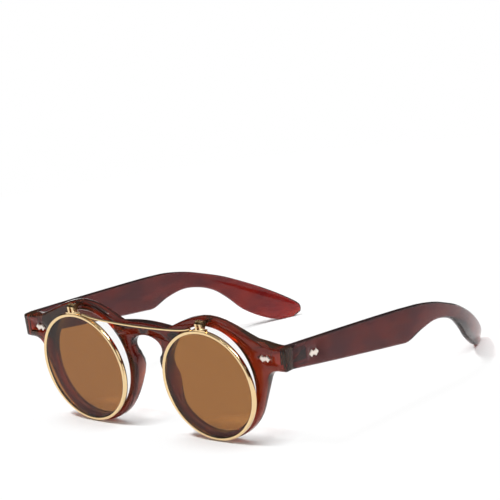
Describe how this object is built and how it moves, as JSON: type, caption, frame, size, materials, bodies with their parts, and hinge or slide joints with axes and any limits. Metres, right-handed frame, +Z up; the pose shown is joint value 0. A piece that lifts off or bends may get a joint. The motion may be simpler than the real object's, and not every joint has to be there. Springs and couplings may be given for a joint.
{
  "type": "flip up sunglasses",
  "caption": "Round flip up sunglasses: a moulded plastic front with clear lenses, folding temples and a thin metal unit of tinted lenses hinged on the brow.",
  "frame": {"origin": "middle of the footprint of the open glasses, on the surface they stand on", "axes": "+X to the wearer's left, +Y back along the temples, +Z up"},
  "size_m": [0.143, 0.151, 0.0503],
  "materials": {
    "front_plastic": "translucent red-brown moulded plastic, polished",
    "temple_plastic": "translucent red-brown moulded plastic, polished, paler at the tips",
    "clear_lens": "clear polished lens",
    "tinted_lens": "flat brown tinted lens",
    "gold_metal": "thin pale gold plated wire, polished",
    "silver_metal": "polished facetted rivet",
    "hinge_metal": "small barrel hinge set in the plastic"
  },
  "bodies": {
    "front": {"frame_front": "front_plastic", "clear_lens_left": "clear_lens", "clear_lens_right": "clear_lens", "front_rivet_left": "silver_metal", "front_rivet_right": "silver_metal", "front_hinge_leaf_left": "hinge_metal", "front_hinge_leaf_right": "hinge_metal", "hinge_screw_left": "silver_metal", "hinge_screw_right": "silver_metal", "flip_hinge_base_left": "gold_metal", "flip_hinge_base_right": "gold_metal"},
    "flip_unit": {"flip_rim_left": "gold_metal", "flip_rim_right": "gold_metal", "tinted_lens_left": "tinted_lens", "tinted_lens_right": "tinted_lens", "flip_hinge_fork_left": "gold_metal", "flip_hinge_fork_right": "gold_metal", "flip_hinge_screw_left": "gold_metal", "flip_hinge_screw_right": "gold_metal", "flip_bridge_bar": "gold_metal"},
    "left_temple": {"temple_left": "temple_plastic", "temple_hinge_leaf_left": "hinge_metal", "temple_rivet_left": "silver_metal"},
    "right_temple": {"temple_right": "temple_plastic", "temple_hinge_leaf_right": "hinge_metal", "temple_rivet_right": "silver_metal"}
  },
  "joints": [
    {"name": "flip_up", "type": "hinge", "parent": "front", "child": "flip_unit", "pos_m": [0, -0.07395, 0.04881], "axis": [-1, 0, 0], "range_deg": [0, 100]},
    {"name": "left_temple_fold", "type": "hinge", "parent": "front", "child": "left_temple", "pos_m": [0.066, -0.06157, 0.03613], "axis": [0, 0.0736, 0.9973], "range_deg": [0, 85]},
    {"name": "right_temple_fold", "type": "hinge", "parent": "front", "child": "right_temple", "pos_m": [-0.066, -0.06157, 0.03613], "axis": [0, -0.0736, -0.9973], "range_deg": [0, 73]}
  ]
}
